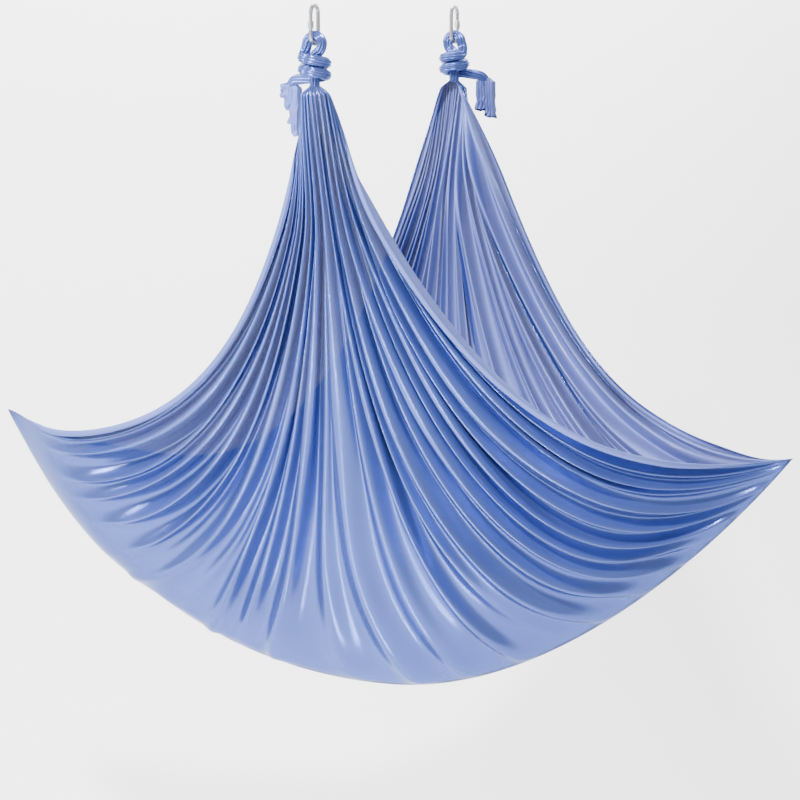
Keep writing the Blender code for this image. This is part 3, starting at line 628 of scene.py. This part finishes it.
def build_hem(name, points, look):
    """Rolled and sewn edge of the sheet."""
    curve = bpy.data.curves.new(name, "CURVE")
    curve.dimensions = "3D"
    curve.bevel_depth = HEM_R
    curve.bevel_resolution = HEM_ROUNDING
    curve.use_fill_caps = True
    spline = curve.splines.new("POLY")
    spline.points.add(len(points) - 1)
    for slot, point in zip(spline.points, points):
        slot.co = (*point, 1.0)
    curve.materials.append(look)
    hem = place_in_scene(name, curve)
    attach(hem, "hammock")
    return hem


def build_cloth(look):
    """The folded sheet and the hems along its two long edges."""
    grid = cloth_surface()
    cloth_size = (SHEET_WIDTH, SHEET_LENGTH)
    cloth = grid_object("hammock_sheet", grid[::-1], look, False, cloth_size)
    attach(cloth, "hammock")
    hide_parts("hammock_cloth")
    left = build_hem("left_hem", grid[0], look)
    right = build_hem("right_hem", grid[-1], look)
    return cloth, [left, right]


def new_material(name):
    made = bpy.data.materials.new(name)
    made.use_nodes = True
    tree = made.node_tree
    return made, tree, tree.nodes["Principled BSDF"]


def node(tree, kind, **values):
    """New node with its sockets, and settings of other names, set to values."""
    made = tree.nodes.new(kind)
    for key, value in values.items():
        if key in made.inputs:
            made.inputs[key].default_value = value
        else:
            setattr(made, key, value)
    return made


def set_inputs(shader, values):
    for key, value in values.items():
        shader.inputs[key].default_value = value


def toned(tree, source, colour, tones):
    """Colour that goes from its deep to its light tone as source rises."""
    made = tree.nodes.new("ShaderNodeValToRGB")
    for element, place, tone in zip(made.color_ramp.elements, TONE_PLACES, tones):
        element.position = place
        element.color = (*(min(1.0, c * tone) for c in colour), 1.0)
    tree.links.new(source, made.inputs["Fac"])
    return made.outputs["Color"]


def colour_by_side(tree, face, cloud, outside, inside):
    """Slightly clouded colour of the cloth's outside or inside."""
    mixed = tree.nodes.new("ShaderNodeMix")
    mixed.data_type = "RGBA"
    first, second = [socket for socket in mixed.inputs if socket.type == "RGBA"]
    tree.links.new(face.outputs["Backfacing"], mixed.inputs["Factor"])
    tree.links.new(toned(tree, cloud.outputs["Fac"], outside, CLOTH_TONES), first)
    tree.links.new(toned(tree, cloud.outputs["Fac"], inside, CLOTH_TONES), second)
    return next(socket for socket in mixed.outputs if socket.type == "RGBA")


def roughness_by_side(tree, face, cloud):
    """Slightly uneven roughness of the cloth's outside or inside."""
    by_side = node(tree, "ShaderNodeMapRange")
    set_inputs(by_side, {"To Min": SATIN_ROUGHNESS, "To Max": MATT_ROUGHNESS})
    tree.links.new(face.outputs["Backfacing"], by_side.inputs["Value"])
    uneven = node(tree, "ShaderNodeMath", operation="MULTIPLY_ADD")
    uneven.inputs[1].default_value = ROUGHNESS_SPREAD
    tree.links.new(cloud.outputs["Fac"], uneven.inputs[0])
    tree.links.new(by_side.outputs["Result"], uneven.inputs[2])
    return uneven.outputs["Value"]


def knit_and_creases(tree):
    """Bumps of the knitted lengthwise wales, and over them of the creases from packing."""
    uv = tree.nodes.new("ShaderNodeUVMap")
    uv.uv_map = "cloth"
    knit = node(tree, "ShaderNodeTexWave", Scale=1.0, Distortion=KNIT_WOBBLE)
    knit.bands_direction = "X"
    stretch = node(tree, "ShaderNodeMapping", Scale=KNIT_DENSITY)
    tree.links.new(uv.outputs["UV"], stretch.inputs["Vector"])
    tree.links.new(stretch.outputs["Vector"], knit.inputs["Vector"])
    wales = node(tree, "ShaderNodeBump", Strength=KNIT_STRENGTH, Distance=KNIT_DEPTH)
    tree.links.new(knit.outputs["Fac"], wales.inputs["Height"])

    packed = node(tree, "ShaderNodeTexVoronoi", Scale=CREASE_SCALE)
    packed.feature = "DISTANCE_TO_EDGE"
    tree.links.new(uv.outputs["UV"], packed.inputs["Vector"])
    thin = node(tree, "ShaderNodeMapRange")
    set_inputs(thin, {"From Max": CREASE_WIDTH})
    tree.links.new(packed.outputs["Distance"], thin.inputs["Value"])
    creases = node(tree, "ShaderNodeBump", Strength=CREASE_STRENGTH, Distance=CREASE_DEPTH)
    tree.links.new(thin.outputs["Result"], creases.inputs["Height"])
    tree.links.new(wales.outputs["Normal"], creases.inputs["Normal"])
    return creases.outputs["Normal"]


def cloth_material(name, alpha):
    """Satin tricot: glossy outside, matt and greyer inside."""
    made, tree, shader = new_material(name)
    place = tree.nodes.new("ShaderNodeTexCoord")
    face = tree.nodes.new("ShaderNodeNewGeometry")
    cloud = node(tree, "ShaderNodeTexNoise", Scale=CLOUD_SCALE, Detail=CLOUD_DETAIL)
    tree.links.new(place.outputs["Object"], cloud.inputs["Vector"])
    colour = colour_by_side(tree, face, cloud, SATIN_OUTSIDE, SATIN_INSIDE)
    tree.links.new(colour, shader.inputs["Base Color"])
    tree.links.new(roughness_by_side(tree, face, cloud), shader.inputs["Roughness"])
    tree.links.new(knit_and_creases(tree), shader.inputs["Normal"])
    set_inputs(shader, {
        "Metallic": SATIN_SHINE,
        "Specular IOR Level": SATIN_SPECULAR,
        "Specular Tint": SATIN_SPECULAR_TINT,
        "Coat Weight": COAT_WEIGHT,
        "Coat IOR": COAT_IOR,
        "Coat Roughness": COAT_ROUGHNESS,
        "Alpha": alpha,
    })
    return made


def steel_material(name, colour, roughness):
    """Steel with uneven tones and roughness and a fine grain."""
    made, tree, shader = new_material(name)
    link = tree.links.new
    place = tree.nodes.new("ShaderNodeTexCoord")
    cloud = node(tree, "ShaderNodeTexNoise", Scale=STEEL_CLOUD_SCALE, Detail=STEEL_CLOUD_DETAIL)
    link(place.outputs["Object"], cloud.inputs["Vector"])
    link(toned(tree, cloud.outputs["Fac"], colour, STEEL_TONES), shader.inputs["Base Color"])
    uneven = node(tree, "ShaderNodeMapRange")
    set_inputs(uneven, {
        "To Min": roughness - ROUGHNESS_BELOW,
        "To Max": roughness + ROUGHNESS_ABOVE,
    })
    link(cloud.outputs["Fac"], uneven.inputs["Value"])
    link(uneven.outputs["Result"], shader.inputs["Roughness"])
    set_inputs(shader, {"Metallic": 1.0})
    grain = node(tree, "ShaderNodeTexNoise", Scale=GRAIN_SCALE, Detail=GRAIN_DETAIL)
    link(place.outputs["Object"], grain.inputs["Vector"])
    bump = node(tree, "ShaderNodeBump", Strength=GRAIN_STRENGTH, Distance=GRAIN_DEPTH)
    link(grain.outputs["Fac"], bump.inputs["Height"])
    link(bump.outputs["Normal"], shader.inputs["Normal"])
    return made


def dress_steel(nodes):
    """Give the CAD pieces of both carabiners their plated or plain steel."""
    plated = steel_material(*PLATED_STEEL)
    plain = steel_material(*PLAIN_STEEL)
    for name, obj in nodes.items():
        if name.endswith(PLATED_NODES):
            look = plated
        elif name.endswith(PLAIN_NODES):
            look = plain
        else:
            continue
        obj.data.materials.clear()
        obj.data.materials.append(look)


def paper_material():
    """Pale paper that is clear from its back, so that the hammock shows from behind the wall."""
    made, tree, shader = new_material("studio_paper")
    set_inputs(shader, {"Base Color": PAPER_COLOUR, "Roughness": PAPER_ROUGHNESS})
    face = tree.nodes.new("ShaderNodeNewGeometry")
    clear = tree.nodes.new("ShaderNodeBsdfTransparent")
    one_sided = tree.nodes.new("ShaderNodeMixShader")
    tree.links.new(face.outputs["Backfacing"], one_sided.inputs["Fac"])
    tree.links.new(shader.outputs["BSDF"], one_sided.inputs[1])
    tree.links.new(clear.outputs["BSDF"], one_sided.inputs[2])
    tree.links.new(one_sided.outputs["Shader"], tree.nodes["Material Output"].inputs["Surface"])
    return made


def build_studio():
    """Pale floor that curves up into a wall behind the hammock, square to the camera."""
    profile = [(FLOOR_FRONT_Y, FLOOR_Z), (WALL_Y - BEND_R, FLOOR_Z)]
    for i in range(1, BEND_STEPS + 1):
        angle = pi / 2 * i / BEND_STEPS
        profile.append((WALL_Y - BEND_R + BEND_R * sin(angle),
                        FLOOR_Z + BEND_R * (1 - cos(angle))))
    profile.append((WALL_Y, WALL_TOP_Z))
    turn = CAMERA_AZIMUTH
    verts = []
    for y, z in profile:
        for x in (-FLOOR_HALF_WIDTH, FLOOR_HALF_WIDTH):
            verts.append((x * cos(turn) - y * sin(turn), x * sin(turn) + y * cos(turn), z))
    faces = [(2 * i, 2 * i + 1, 2 * i + 3, 2 * i + 2) for i in range(len(profile) - 1)]
    mesh = bpy.data.meshes.new("studio_floor")
    mesh.from_pydata(verts, [], faces)
    mesh.shade_smooth()
    mesh.materials.append(paper_material())
    floor = place_in_scene("studio_floor", mesh)


def area_light(name, place, aim, size, power):
    """White rectangular light that the camera doesn't see."""
    data = bpy.data.lights.new(name, "AREA")
    data.shape = "RECTANGLE"
    data.size, data.size_y = size
    data.energy = power
    lamp = place_in_scene(name, data)
    lamp.location = place
    lamp.visible_camera = False
    lamp.rotation_euler = (Vector(aim) - Vector(place)).to_track_quat("-Z", "Y").to_euler()


def build_lights():
    """Soft white surroundings, narrow lights for the satin's highlights, a light on the wall."""
    world = bpy.data.worlds.new("studio_world")
    bpy.context.scene.world = world
    world.use_nodes = True
    background = world.node_tree.nodes["Background"]
    set_inputs(background, {"Color": WORLD_COLOUR, "Strength": WORLD_STRENGTH})
    for light in LIGHTS:
        area_light(*light)


def build_camera():
    """The photograph's viewpoint."""
    a, e = CAMERA_AZIMUTH, CAMERA_ELEVATION
    way = Vector((sin(a) * cos(e), -cos(a) * cos(e), sin(e)))
    data = bpy.data.cameras.new("photo_camera")
    data.lens = CAMERA_LENS
    data.sensor_width = CAMERA_SENSOR
    camera = place_in_scene("photo_camera", data)
    camera.location = Vector(CAMERA_AIM) + way * CAMERA_DISTANCE
    camera.rotation_euler = (-way).to_track_quat("-Z", "Y").to_euler()
    bpy.context.scene.camera = camera


def build_hammock():
    """The cloth with its knots and tails, each in place of its CAD solid."""
    satin = cloth_material("satin_tricot", COVERAGE)
    bundled = cloth_material("bundled_tricot", 1.0)
    cloth, pieces = build_cloth(satin)
    for end, name, hand, tail_out, tail_length, pleat_shares in ENDS:
        pieces.append(build_knot(end, name, hand, tail_out, bundled))
        pieces.append(build_tail(end, name, hand, tail_out, tail_length, pleat_shares, bundled))


build_camera()
build_studio()
build_lights()
dress_steel(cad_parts)
build_hammock()

bpy.context.view_layer.update()
